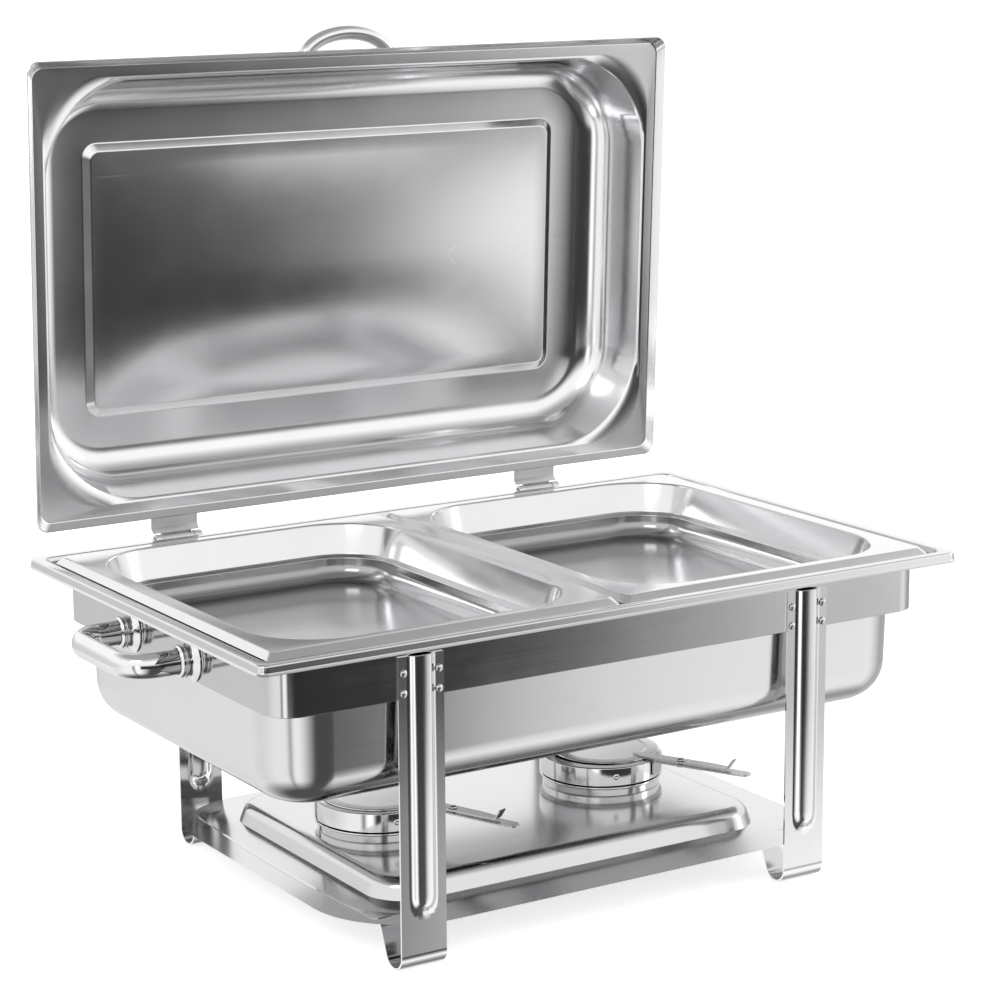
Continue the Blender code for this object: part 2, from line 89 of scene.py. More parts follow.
# frame
SKIRT_HALF = (260.0, 159.6)
SKIRT_Z = (184.0, 220.6)
SKIRT_RADIUS = 20.0
LEG_X = 156.0
LEG_HALF_WIDTH = 17.0
LEG_FACE = 161.4
LEG_TOP = 212.5
FOOT_RADIUS = 11.0
SHELF_TAB_END = 106.0
RIB_HALF_WIDTH = 10.2
RIB_CREST = 4.6
RIB_HEIGHT = 3.2
RIB_END = 39.0
RIB_CAMBER = 0.25
RIVET_X = 13.2
RIVET_Z = (188.2, 201.6)

# shelf
SHELF_TOP = 28.9
SHELF_HALF = (175.3, 129.0)
SHELF_BOW = (6.6, 5.5)
PLATFORM_HALF = (157.3, 116.4)
PLATFORM_TOP = 42.6
PLATFORM_RADIUS = 29.0

# pans
WATER_HALF = (256.5, 153.5)
WATER_FLOOR = 116.8
LEDGE_TOP = 222.9
RIM_TOP = 226.3
FOOD_X = 133.0
FOOD_HALF = (132.5, 162.5)
FOOD_TOP = 228.4
FOOD_FLOOR = 188.4
FOOD_NARROWER = 3.0
FOOD_STEP = 206.2

# lid, drawn shut
LID_HALF = (268.0, 166.35)
LID_EDGE = 223.6
LID_FACE = 228.8
LID_FLOOR = 283.5
PANEL_EDGE = -75.0
PANEL_DEPTH = 3.2
PANEL_CROWN = 6.5

# handles
HANDLE_Z = 198.5
HANDLE_SPACING = 45.0
HANDLE_REACH = 305.5
HANDLE_OVAL = (6.5, 8.5)
HANDLE_BEND = 20.0
HANDLE_START = 7.0
LID_HANDLE_Z = 254.5
LID_HANDLE_HALF = 36.4
LID_HANDLE_REACH = 176.2
LID_HANDLE_RADIUS = 5.5
LID_HANDLE_SHANK = 6.0
LID_WALL_INSET = 16.2

# fuel holders
BAND_RADIUS = 45.3
BAND_TOP = 66.0
BAND_MOUTH = 37.0
CUP_LOW = 42.9
CUP_RADIUS = 43.0
COVER_RADIUS = 39.5
BAND_RIVET_Z = 59.3
BAND_RIVET_AT = {"left": -103.0, "right": -110.0}
FUEL_HANDLE_HALF = 5.6
FUEL_HANDLE_PAST_PIVOT = 55.5
TIP_RADIUS = 6.0
LEVER_START = 27.0
LEVER_PAST_PIVOT = 38.0
HOLDERS = {"left": (-97.0, 0.0), "right": (93.0, 0.0)}


# ---- materials ---------------------------------------------------------------------------


class Nodes:
    """Adds shader nodes to a material and links them."""

    def __init__(self, tree):
        self.tree = tree

    def add(self, kind, **settings):
        node = self.tree.nodes.new(kind)
        for name, value in settings.items():
            setattr(node, name, value)
        return node

    def link(self, source, target):
        self.tree.links.new(source, target)

    def noise(self, vector, scale, detail=3.0, roughness=0.5):
        node = self.add("ShaderNodeTexNoise")
        node.inputs["Scale"].default_value = scale
        node.inputs["Detail"].default_value = detail
        node.inputs["Roughness"].default_value = roughness
        self.link(vector, node.inputs["Vector"])
        return node.outputs["Fac"]

    def stretched(self, vector, scale):
        node = self.add("ShaderNodeMapping")
        node.inputs["Scale"].default_value = scale
        self.link(vector, node.inputs["Vector"])
        return node.outputs["Vector"]

    def ranged(self, value, low, high, new_low, new_high):
        node = self.add("ShaderNodeMapRange")
        limits = {"From Min": low, "From Max": high, "To Min": new_low, "To Max": new_high}
        for name, number in limits.items():
            node.inputs[name].default_value = number
        self.link(value, node.inputs["Value"])
        return node.outputs["Result"]

    def maths(self, operation, first, second):
        node = self.add("ShaderNodeMath", operation=operation)
        for value, socket in zip((first, second), node.inputs):
            if isinstance(value, (int, float)):
                socket.default_value = value
            else:
                self.link(value, socket)
        return node.outputs[0]


CLOUD_SCALE = 14.0
SMUDGE = 0.03
SCRATCH_DARKNESS, SCRATCH_DULLNESS = 0.05, 0.2
BUMP_STRENGTH, BUMP_DEPTH = 0.04, 0.000001
STEEL_TINT = (1.0, 1.0, 1.012)
# a pan's well of painted shade: how far back it is darkest, how much darker, and over what height it fades,
# in metres
WELL_REACH, WELL_SHADE, WELL_FADE = 0.135, 0.66, 0.002


def steel(name, grey, roughness, grain, brushing=0.01, scratches=0.15, well_top=None):
    """Stainless steel: fine brushing, soft smudges, and a few light scratches.

    With a well top, painted shade darkens the steel below that height toward the back.
    """
    material = bpy.data.materials.new(name)
    material.use_nodes = True
    tree = material.node_tree
    shader = tree.nodes["Principled BSDF"]
    shader.inputs["Metallic"].default_value = 1.0
    nodes = Nodes(tree)
    where = nodes.add("ShaderNodeTexCoord").outputs["Object"]
    lines = nodes.noise(nodes.stretched(where, grain), 1.0, 2.0)
    clouds = nodes.noise(where, CLOUD_SCALE, 4.0, 0.6)
    marks = nodes.noise(nodes.stretched(where, (grain[2] * 0.02, grain[0] * 2.5, 420.0)), 1.0, 1.0)
    scratch = nodes.ranged(marks, 0.74, 0.80, 0.0, 1.0)

    shade = nodes.ranged(clouds, 0.3, 0.7, grey * 0.97, grey * 1.02)
    shade = nodes.maths("SUBTRACT", shade, nodes.maths("MULTIPLY", scratch, SCRATCH_DARKNESS * scratches))
    # painted shade: the steel is darker below the pan's step, more so toward its back
    if well_top:
        shade = nodes.maths("MULTIPLY", shade, painted_well_shade(nodes, where, well_top))
    colour = nodes.add("ShaderNodeCombineColor")
    for channel, tint in zip(("Red", "Green", "Blue"), STEEL_TINT):
        nodes.link(nodes.maths("MULTIPLY", shade, tint), colour.inputs[channel])
    nodes.link(colour.outputs["Color"], shader.inputs["Base Color"])

    gloss = nodes.ranged(lines, 0.3, 0.7, roughness - brushing, roughness + brushing)
    gloss = nodes.maths("ADD", gloss, nodes.ranged(clouds, 0.45, 0.75, 0.0, SMUDGE))
    gloss = nodes.maths("ADD", gloss, nodes.maths("MULTIPLY", scratch, SCRATCH_DULLNESS * scratches))
    nodes.link(gloss, shader.inputs["Roughness"])

    bump = nodes.add("ShaderNodeBump")
    bump.inputs["Strength"].default_value = BUMP_STRENGTH
    bump.inputs["Distance"].default_value = BUMP_DEPTH
    relief = nodes.maths("SUBTRACT", lines, nodes.maths("MULTIPLY", scratch, scratches))
    nodes.link(relief, bump.inputs["Height"])
    nodes.link(bump.outputs["Normal"], shader.inputs["Normal"])
    return material


def painted_well_shade(nodes, where, top):
    """A share of full brightness for painted shade: less below the step of a pan, toward its back."""
    split = nodes.add("ShaderNodeSeparateXYZ")
    nodes.link(where, split.inputs[0])
    top *= METRES_PER_MM
    below = nodes.ranged(split.outputs["Z"], top - WELL_FADE, top, 1.0, 0.0)
    shade_depth = nodes.ranged(split.outputs["Y"], 0.0, WELL_REACH, 0.0, WELL_SHADE)
    return nodes.maths("SUBTRACT", 1.0, nodes.maths("MULTIPLY", below, shade_depth))


def plain_floor():
    """A matt white that glows a little, so the table stays as pale as its surroundings."""
    material = bpy.data.materials.new("table_white")
    material.use_nodes = True
    shader = material.node_tree.nodes["Principled BSDF"]
    shader.inputs["Base Color"].default_value = (0.93, 0.93, 0.93, 1)
    shader.inputs["Roughness"].default_value = 0.9
    shader.inputs["Specular IOR Level"].default_value = 0.0
    shader.inputs["Emission Color"].default_value = (1, 1, 1, 1)
    shader.inputs["Emission Strength"].default_value = 0.55
    return material


# which way the brushing runs
ALONG_X = (9.0, 1500.0, 1500.0)
ALONG_Z = (1500.0, 1500.0, 9.0)
ALL_ROUND = (160.0, 160.0, 160.0)
STEEL = {
    "skirt": steel("skirt_steel", 0.56, 0.10, ALONG_X, 0.012),
    "legs": steel("leg_steel", 0.72, 0.1, ALONG_Z, 0.012),
    "shelf": steel("shelf_steel", 0.56, 0.15, ALONG_X, 0.012),
    "water_pan": steel("water_pan_steel", 0.60, 0.15, ALONG_X),
    # the food pans' steel carries painted shade in their wells below the step
    "food_pan": steel("food_pan_steel", 0.64, 0.14, ALONG_X, well_top=FOOD_STEP),
    "lid": steel("lid_steel", 0.7, 0.15, ALONG_X, scratches=0.3),
    "handles": steel("handle_steel", 0.68, 0.06, ALONG_X),
    "hinges": steel("hinge_steel", 0.7, 0.38, ALL_ROUND, 0.08),
    "rivets": steel("rivet_steel", 0.55, 0.25, ALL_ROUND, 0.04),
    "burners": steel("burner_steel", 0.66, 0.09, ALONG_X),
    "covers": steel("cover_steel", 0.58, 0.2, ALONG_X),
    "levers": steel("lever_steel", 0.55, 0.28, ALL_ROUND, 0.05),
}


# ---- shapes ------------------------------------------------------------------------------


def arc(centre, radius, start, end, steps):
    """Points on a circle between two angles in degrees."""
    turns = [math.radians(start + (end - start) * i / steps) for i in range(steps + 1)]
    return [(centre[0] + radius * math.cos(a), centre[1] + radius * math.sin(a)) for a in turns]


def loft(rings, closed=False):
    """Skins the rings in order. An open run gets a cap at each end."""
    mesh = bmesh.new()
    loops = [[mesh.verts.new(point) for point in ring] for ring in rings]
    following = loops[1:] + loops[:1] if closed else loops[1:]
    for low, high in zip(loops, following):
        for i, first in enumerate(low):
            j = (i + 1) % len(low)
            mesh.faces.new((first, low[j], high[j], high[i]))
    if not closed:
        mesh.faces.new(loops[0])
        mesh.faces.new(loops[-1])
    return mesh


def rounded(corners, steps=BEND_STEPS):
    """A line through (out, z, radius) corners, each turned to an arc of its radius."""
    line = [tuple(corners[0][:2])]
    for before, corner, after in zip(corners, corners[1:], corners[2:]):
        middle, radius = Vector(corner[:2]), corner[2]
        back = (Vector(before[:2]) - middle).normalized()
        ahead = (Vector(after[:2]) - middle).normalized()
        angle = back.angle(ahead)
        if radius == 0 or math.pi - angle < 0.02:
            line.append(tuple(middle))
            continue
        centre = middle + (back + ahead).normalized() * radius / math.sin(angle / 2)
        first = middle + back * radius / math.tan(angle / 2) - centre
        last = middle + ahead * radius / math.tan(angle / 2) - centre
        turn = math.pi - angle
        for i in range(steps + 1):
            share = i / steps
            spread = math.sin((1 - share) * turn) * first + math.sin(share * turn) * last
            line.append(tuple(centre + spread / math.sin(turn)))
    line.append(tuple(corners[-1][:2]))
    return line


def beside(profile, distance):
    """A line of (out, z) points moved to its left by a distance, mitred where it bends."""
    normals = []
    for (a, b), (c, d) in zip(profile, profile[1:]):
        run = math.hypot(c - a, d - b)
        normals.append(((b - d) / run, (c - a) / run))
    moved = []
    for i, (out, z) in enumerate(profile):
        before, after = normals[max(i - 1, 0)], normals[min(i, len(normals) - 1)]
        x, y = before[0] + after[0], before[1] + after[1]
        share = 2 * distance / (x * x + y * y)
        moved.append((out + x * share, z + y * share))
    return moved


def rounded_ring(half, radius, z, bow=(0.0, 0.0), side_steps=1):
    """A level rectangle with round corners. With a bow, its sides swell outward."""
    points = []
    for start, (side_x, side_y) in zip((270, 0, 90, 180), ((1, -1), (1, 1), (-1, 1), (-1, -1))):
        centre = (side_x * (half[0] - radius), side_y * (half[1] - radius))
        points += arc(centre, radius, start, start + 90, CORNER_STEPS)
    ring = []
    for i, point in enumerate(points):
        ring.append(point)
        if i % (CORNER_STEPS + 1) == CORNER_STEPS:
            nxt = points[(i + 1) % len(points)]
            shares = [k / side_steps for k in range(1, side_steps)]
            ring += [tuple(a + (b - a) * t for a, b in zip(point, nxt)) for t in shares]
    return [
        (
            x * (1 + bow[0] / half[0] * (1 - min(1, abs(y) / half[1]) ** 2)),
            y * (1 + bow[1] / half[1] * (1 - min(1, abs(x) / half[0]) ** 2)),
            z,
        )
        for x, y in ring
    ]


def pressed(half, profile, radius_at, sheet, centre=(0.0, 0.0), narrower=0.0, side_steps=1):
    """A sheet drawn along a profile of (out, z) from its floor to its rim edge.

    A rim can be narrower at the front and back than it is at the sides.
    """
    other = beside(profile, sheet)
    run = [(point, radius_at(point[0])) for point in profile]
    run += [(far, radius_at(near[0]) + far[0] - near[0]) for near, far in zip(profile, other)][::-1]
    rings = []
    for (out, z), radius in run:
        longer = narrower * min(1.0, max(0.0, (-out - 5.0) / 6.0))
        size = (half[0] + out, half[1] + out + longer)
        ring = rounded_ring(size, max(radius, 0.6), z, side_steps=side_steps)
        rings.append([(x + centre[0], y + centre[1], height) for x, y, height in ring])
    return loft(rings)


def between(*pairs):
    """A function that reads a value off straight lines through (x, value) pairs."""
    xs, values = zip(*sorted(pairs))
    return lambda x: float(np.interp(x, xs, values))


def circle(radius, z, centre=(0.0, 0.0), steps=ROUND_STEPS):
    """A level circle of points."""
    return [(x, y, z) for x, y in arc(centre, radius, 0, 360, steps)[:-1]]


def turned(profile, sheet, centre):
    """A sheet turned about an upright axis, from (radius, z) pairs."""
    run = profile + beside(profile, sheet)[::-1]
    return loft([circle(radius, z, centre) for radius, z in run])


def spool(profile, base, axis, steps=28):
    """A solid turned about an axis through a point, from (radius, distance) pairs."""
    turn = Vector((0, 0, 1)).rotation_difference(Vector(axis)).to_matrix()
    rings = [
        [turn @ Vector(point) + Vector(base) for point in circle(radius, along, steps=steps)]
        for radius, along in profile
    ]
    return loft(rings)


def swept_oval(path, half_wide, half_high, steps=32):
    """A bar along a level path of (x, y, z), with an oval section."""
    rings = []
    for i, point in enumerate(path):
        ahead = Vector(path[min(i + 1, len(path) - 1)]) - Vector(path[max(i - 1, 0)])
        sideways = Vector((-ahead.y, ahead.x, 0)).normalized()
        rings.append(
            [
                Vector(point) + sideways * half_wide * math.cos(a) + Vector((0, 0, half_high * math.sin(a)))
                for a in [2 * math.pi * k / steps for k in range(steps)]
            ]
        )
    return loft(rings)


def dome(radius, height, base=0.0, steps=9, step=10):
    """A rivet's domed head as (radius, distance) pairs."""
    turns = [math.radians(step * k) for k in range(steps)]
    return [(radius * math.cos(a), base + height * math.sin(a)) for a in turns]


def opened(mesh):
    """Turns a shut lid piece about the hinge to where the lid stands open."""
    turn = Matrix.Rotation(-LID_OPEN_ANGLE, 3, "X")
    bmesh.ops.rotate(mesh, verts=mesh.verts, cent=(0, HINGE.y, HINGE.z), matrix=turn)
    return mesh


def joined(meshes):
    """Puts several meshes into one."""
    whole = bmesh.new()
    for mesh in meshes:
        data = bpy.data.meshes.new("piece")
        mesh.to_mesh(data)
        mesh.free()
        whole.from_mesh(data)
        bpy.data.meshes.remove(data)
    return whole


def piece(name, mesh, finish, body, nodes, sharp=32.0):
    """Makes a finished piece from a mesh in millimetres, in place of the CAD nodes."""
    bmesh.ops.scale(mesh, verts=mesh.verts, vec=(METRES_PER_MM,) * 3)
    bmesh.ops.translate(mesh, verts=mesh.verts, vec=MIDDLE)
    bmesh.ops.recalc_face_normals(mesh, faces=mesh.faces)
    data = bpy.data.meshes.new(name)
    mesh.to_mesh(data)
    mesh.free()
    data.shade_smooth()
    data.set_sharp_from_angle(angle=math.radians(sharp))
    data.materials.append(STEEL[finish])
    thing = bpy.data.objects.new(name, data)
    bpy.context.scene.collection.objects.link(thing)
    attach(thing, body)
    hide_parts(*nodes)
    return thing


# ---- frame -------------------------------------------------------------------------------


def build_skirt():
    """The upright band, its lower edge slightly rounded."""
    inner = (SKIRT_HALF[0] - SKIRT_SHEET, SKIRT_HALF[1] - SKIRT_SHEET)
    low, high = SKIRT_Z
    rows = [(0.35, low), (0.0, low + 0.35), (0.0, high), (SKIRT_SHEET, high), (SKIRT_SHEET, low)]
    rings = [
        rounded_ring((SKIRT_HALF[0] - inset, SKIRT_HALF[1] - inset), SKIRT_RADIUS - inset, z)
        for inset, z in rows
    ]
    piece("skirt_band", loft(rings, closed=True), "skirt", "stand", ["skirt"])


def leg_path():
    """The outer face of a leg as (distance from the middle, z), from its top to its shelf tab."""
    foot = arc((LEG_FACE - FOOT_RADIUS, FOOT_RADIUS), FOOT_RADIUS, 0, -157.5, 24)
    tab_z = SHELF_TOP - SHELF_SHEET - GAP - LEG_SHEET
    last = foot[-1]
    start = last[0] - (tab_z - last[1]) * math.tan(math.radians(22.5))
    height = LEG_TOP - FOOT_RADIUS - 1.0
    upright = [(LEG_FACE, LEG_TOP - height * i / UPRIGHT_STEPS) for i in range(UPRIGHT_STEPS + 1)]
    tab = rounded([(*last, 0), (start, tab_z, 4.0), (SHELF_TAB_END, tab_z, 0)], 6)
    return upright + foot + tab[1:]


def rib_height(x, z):
    """How far the pressed rib stands out of a leg. Its lower end is round."""
    turn = RIB_END + RIB_HALF_WIDTH
    away = abs(x) if z > turn else math.hypot(x, z - turn)
    share = min(1.0, max(0.0, (away - RIB_CREST) / (RIB_HALF_WIDTH - RIB_CREST)))
    rise = 0.5 + 0.5 * math.cos(math.pi * share)
    return RIB_HEIGHT * rise - RIB_CAMBER * min(1.0, away / RIB_CREST) ** 2


def build_legs():
    """Strips with a pressed rib down the middle of the upright part."""
    outer = leg_path()
    inner = beside(outer, -LEG_SHEET)
    across = [-LEG_HALF_WIDTH + 2 * LEG_HALF_WIDTH * i / ACROSS_STEPS for i in range(ACROSS_STEPS + 1)]
    for name, side_x, side_y in CORNERS:
        rings = []
        for x in across:
            bulge = [rib_height(x, z) if y > LEG_FACE - 0.01 else 0.0 for y, z in outer]
            front = [(x, y + rise, z) for (y, z), rise in zip(outer, bulge)]
            back = [(x, y + rise, z) for (y, z), rise in zip(inner, bulge)]
            rings.append([(side_x * LEG_X + a, side_y * b, c) for a, b, c in front + back[::-1]])
        node = f"leg_{name}"
        piece(f"{node}_strip", loft(rings), "legs", "stand", [node])


def build_rivets():
    """Four for each leg, with a domed head outside it and another inside the skirt.

    The back ones go through the hinge brackets too.
    """
    head_profile = [(2.7, 0.0), (2.7, 0.15)] + dome(2.6, 1.1, 0.2)
    inside = SKIRT_HALF[1] - SKIRT_SHEET
    for name, side_x, side_y in CORNERS:
        face = LEG_FACE + 0.1 + (BRACKET_SHEET + GAP if side_y > 0 else 0.0)
        spots = [(x, z) for z in RIVET_Z for x in (-RIVET_X, RIVET_X)]
        for number, (x, z) in enumerate(spots, start=1):
            across = side_x * LEG_X + x
            head = spool(head_profile, (across, side_y * face, z), (0, side_y, 0))
            tail = spool(head_profile, (across, side_y * inside, z), (0, -side_y, 0))
            node = f"rivet_{name}_{number}"
            piece(f"{node}_heads", joined([head, tail]), "rivets", "stand", [node])


def build_shelf():
    """A sheet with a raised platform, its sides bowed out and its corners welded to the legs."""
    corners = [(0.6, SHELF_TOP, 0.0), (0.0, SHELF_TOP, 1.2)]
    corners += [(-5.0, PLATFORM_TOP, 9.0), (-30.0, PLATFORM_TOP, 0)]
    lip = rounded(corners, 12)
    rings = [rounded_ring(SHELF_HALF, 4, SHELF_TOP, SHELF_BOW, SHELF_SIDE_STEPS)]
    under = [rounded_ring(SHELF_HALF, 4, SHELF_TOP - SHELF_SHEET, SHELF_BOW, SHELF_SIDE_STEPS)]
    for line, store in ((lip, rings), (beside(lip, -SHELF_SHEET), under)):
        for out, z in line:
            half = (PLATFORM_HALF[0] + out, PLATFORM_HALF[1] + out)
            radius = max(6.0, PLATFORM_RADIUS + out)
            store.append(rounded_ring(half, radius, z, side_steps=SHELF_SIDE_STEPS))
    piece("shelf_sheet", loft(rings[::-1] + under), "shelf", "stand", ["shelf"])


# ---- pans --------------------------------------------------------------------------------


def build_water_pan():
    """A deep pan with a ledge, on which the food pans and the shut lid rest."""
    corners = [(-70, WATER_FLOOR, 0), (-3.4, WATER_FLOOR, 27), (-0.8, LEDGE_TOP, 3.6)]
    corners += [(13.9, LEDGE_TOP, 1.1), (15.2, RIM_TOP, 1.3), (22.6, RIM_TOP, 1.7)]
    corners += [(22.9, LEDGE_TOP - 2.0, 1.2), (23.9, RIM_TOP - 6.7, 0)]
    radius = between((-70, 8), (-34, 10), (-3, 39), (2, 42), (13.5, 9), (16, 8), (24, 7))
    mesh = pressed(WATER_HALF, rounded(corners, 8), radius, -PAN_SHEET)
    piece("water_pan_sheet", mesh, "water_pan", "water_pan", ["water_pan"])


def build_food_pans():
    """Two shallow pans, with a step half way down and a flat rim."""
    corners = [(-72, FOOD_FLOOR, 0), (-27.4, FOOD_FLOOR, 12)]
    corners += [(-26.4, FOOD_STEP - 1.8, 1.2), (-22.8, FOOD_STEP + 0.2, 1.2)]
    corners += [(-16.4, FOOD_TOP, 2.2), (-4.6, FOOD_TOP, 1.6), (-0.1, FOOD_TOP - 4.6, 0)]
    radii = [(-72, 8), (-52, 16), (-35, 33), (-26, 42), (-20, 49), (-15, 53), (-7, 7), (-4, 5), (0, 5)]
    radius = between(*radii)
    for side, sign in SIDES.items():
        middle = (sign * FOOD_X, 0.0)
        mesh = pressed(FOOD_HALF, rounded(corners, 8), radius, -PAN_SHEET, middle, FOOD_NARROWER)
        body = f"food_pan_{side}"
        piece(f"{body}_sheet", mesh, "food_pan", body, [body])


# ---- lid ---------------------------------------------------------------------------------


def crown(mesh, half, level, sheet):
    """Swells the flat panel of a lid toward its inside, with quads across its middle strip."""
    middle = CORNER_STEPS + LID_SIDE_STEPS // 2
    for cap in [face for face in mesh.faces if len(face.verts) > 4]:
        ring = list(cap.verts)
        mesh.faces.remove(cap)
        for k in range(len(ring) // 2):
            around = (middle - k, middle - k - 1, middle + k + 1, middle + k)
            mesh.faces.new(dict.fromkeys(ring[i % len(ring)] for i in around))
    for vertex in mesh.verts:
        x, y, z = vertex.co
        if abs(z - level) > sheet + 0.1:
            continue
        share = [max(0.0, 1 - (a / (b + PANEL_EDGE)) ** 2) for a, b in ((x, half[0]), (y, half[1]))]
        vertex.co.z -= PANEL_CROWN * share[0] * share[1]


def build_lid():
    """The drawn lid, with a slightly crowned panel pressed in from outside."""
    panel = LID_FLOOR - PANEL_DEPTH
    corners = [(PANEL_EDGE, panel, 0), (-71.4, panel, 2.4), (-65.6, LID_FLOOR, 2.6), (-22.0, LID_FLOOR, 24)]
    corners += [(-14.6, LID_FACE, 3.4), (-4.4, LID_FACE, 1.4), (0.0, LID_EDGE, 0)]
    radii = [(-160, 0.6), (-76, 6), (-71, 7), (-65, 12), (-44, 34), (-23, 60), (-15, 71), (-8, 9), (0, 8)]
    reach = LID_HALF[1] + PANEL_EDGE - 1.0
    inward = [(PANEL_EDGE - reach * k / PANEL_RINGS, panel, 0) for k in range(PANEL_RINGS, 0, -1)]
    profile = rounded(inward + corners, 9)
    mesh = pressed(LID_HALF, profile, between(*radii), PAN_SHEET, side_steps=LID_SIDE_STEPS)
    crown(mesh, LID_HALF, panel, PAN_SHEET)
    piece("lid_sheet", opened(mesh), "lid", "lid", ["lid"])


# ---- handles -----------------------------------------------------------------------------


def build_side_handles():
    """A bent oval bar at each end of the skirt, held by two ferrules."""
    start = SKIRT_HALF[0] + HANDLE_START
    corner = (HANDLE_REACH - HANDLE_BEND, HANDLE_SPACING - HANDLE_BEND)
    half = [(start, HANDLE_SPACING), (start + 6, HANDLE_SPACING)] + arc(corner, HANDLE_BEND, 90, 0, 16)
    plan = half + [(x, -y) for x, y in half[::-1]]
    for side, sign in SIDES.items():
        bar = swept_oval([(sign * x, y, HANDLE_Z) for x, y in plan], *HANDLE_OVAL)
        name = f"side_handle_{side}"
        piece(f"{name}_bar", bar, "handles", "stand", [name])
        for end, sign_y in ENDS.items():
            build_side_ferrule(f"ferrule_{side}_{end}", sign, sign_y * HANDLE_SPACING)


def build_side_ferrule(name, sign, y):
    """A socket with a flared foot against the skirt's end and two beads round the handle."""
    face, (wide, high) = SKIRT_HALF[0] + GAP, HANDLE_OVAL
    flare = [(0.0, 6.6, 0), (0.8, 6.5, 0.3), (3.2, 2.2, 1.6), (5.6, 1.4, 0.5)]
    beads = [(6.3, 2.7, 0.5), (7.6, 2.7, 0.5), (8.1, 1.6, 0.3), (8.7, 2.6, 0.5), (10.2, 2.6, 0.5)]
    mouth = [(11.2, 1.2, 0.4), (11.3, 0.3, 0), (7.0, 0.3, 0)]
    turns = [2 * math.pi * k / FERRULE_STEPS for k in range(FERRULE_STEPS)]
    rings = []
    for along, out in rounded(flare + beads + mouth, 4):
        x = sign * (face + along)
        oval = [((wide + out) * math.cos(a), (high + out) * math.sin(a)) for a in turns]
        rings.append([(x, y + across, HANDLE_Z + up) for across, up in oval])
    piece(f"{name}_socket", loft(rings), "handles", "stand", [name])


def build_lid_handle():
    """A bent rod on the lid's front wall, with a beaded ferrule round each end."""
    wall = LID_WALL_INSET - LID_HALF[1]
    base = wall - LID_HANDLE_SHANK
    rise = LID_HANDLE_REACH + base
    turns = [math.radians(180 * i / ARCH_STEPS) for i in range(ARCH_STEPS + 1)]
    arch = [(-LID_HANDLE_HALF * math.cos(a), base - rise * math.sin(a), LID_HANDLE_Z) for a in turns]
    ends = [(sign * LID_HANDLE_HALF, wall - 2.0, LID_HANDLE_Z) for sign in (-1, 1)]
    bar = swept_oval([ends[0]] + arch + [ends[1]], LID_HANDLE_RADIUS, LID_HANDLE_RADIUS)
    piece("lid_handle_bar", opened(bar), "handles", "lid", ["lid_handle"])
    radius = LID_HANDLE_RADIUS
    corners = [(radius + 3.0, 0.0, 0), (radius + 2.9, 1.0, 0.4), (radius + 1.4, 2.4, 0.8)]
    corners += [(radius + 1.4, 6.0, 0.5), (radius + 0.3, 6.0, 0.1), (radius + 0.3, 1.7, 0)]
    for side, sign in SIDES.items():
        foot = (sign * LID_HANDLE_HALF, wall, LID_HANDLE_Z)
        ferrule = spool(rounded(corners, 4), foot, (0, -1, 0), FERRULE_STEPS)
        node = f"lid_ferrule_{side}"
        piece(f"{node}_ring", opened(ferrule), "handles", "lid", [node])


# ---- fuel holders ------------------------------------------------------------------------


def placed(mesh, centre, turn):
    """Turns a mesh drawn along X about the upright axis, and moves it to a holder's centre."""
    bmesh.ops.rotate(mesh, verts=mesh.verts, matrix=Matrix.Rotation(turn, 3, "Z"))
    bmesh.ops.translate(mesh, verts=mesh.verts, vec=(*centre, 0))
    return mesh


def bent_strip(path, sheet, half_widths):
    """A bent strip along X from (x, z) points, with a half width at each point."""
    lower = beside(path, -sheet)
    rings = [
        [(x, -w, z), (x, w, z), (far_x, w, far_z), (far_x, -w, far_z)]
        for (x, z), (far_x, far_z), w in zip(path, lower, half_widths)
    ]
    return loft(rings)


def build_cup(side, body):
    """The drawn cup, with a bead round it under the band."""
    low, radius = CUP_LOW, CUP_RADIUS
    cup = [(28.0, low, 0), (radius, low, 1.6), (radius, low + 6.4, 0.6), (radius + 2.0, low + 6.9, 0.5)]
    cup += [(radius + 2.0, low + 8.2, 0.5), (radius, low + 8.8, 0.4), (radius, low + 19.0, 0)]
    mesh = turned(rounded(cup, 4), PAN_SHEET, HOLDERS[side])
    piece(f"fuel_cup_{side}_sheet", mesh, "burners", body, [f"fuel_cup_{side}"])


def build_band(side, body):
    """The outer band with its inturned top, and the rivet that holds it."""
    centre, bottom = HOLDERS[side], CUP_LOW + 9.9
    line = rounded([(BAND_RADIUS, bottom, 0), (BAND_RADIUS, BAND_TOP, 1.0), (BAND_MOUTH, BAND_TOP, 0)], 6)
    rings = [circle(radius, z, centre) for radius, z in line + beside(line, PAN_SHEET)[::-1]]
    head = math.radians(BAND_RIVET_AT[side])
    out = (math.cos(head), math.sin(head), 0)
    spot = (centre[0] + BAND_RADIUS * out[0], centre[1] + BAND_RADIUS * out[1], BAND_RIVET_Z)
    mesh = joined([loft(rings, closed=True), spool(dome(2.3, 0.7), spot, out)])
    piece(f"fuel_band_{side}_ring", mesh, "burners", body, [f"fuel_band_{side}"])


def build_fuel_handle(side, body, turn, pivot_reach):
    """The strip by which a holder is carried, bent down against its band."""
    tip, out, top = pivot_reach + FUEL_HANDLE_PAST_PIVOT, BAND_RADIUS + 1.3, BAND_TOP - 1.0
    path = rounded([(out, BAND_TOP - 11, 0), (out, top, 1.6), (tip, top, 0)], 6)
    path = path[:-1] + [(tip - TIP_RADIUS + TIP_RADIUS * k / 8, path[-1][1]) for k in range(9)]
    widths = [FUEL_HANDLE_HALF * round_tip(x - tip + TIP_RADIUS) for x, _ in path]
    mesh = placed(bent_strip(path, -LEVER_SHEET, widths), HOLDERS[side], turn)
    piece(f"fuel_handle_{side}_strip", mesh, "levers", body, [f"fuel_handle_{side}"], 40)


def round_tip(beyond):
    """The share of a strip's full width that is left, a distance past its round tip's centre."""
    return math.sqrt(max(0.5, TIP_RADIUS ** 2 - max(0.0, beyond) ** 2)) / TIP_RADIUS


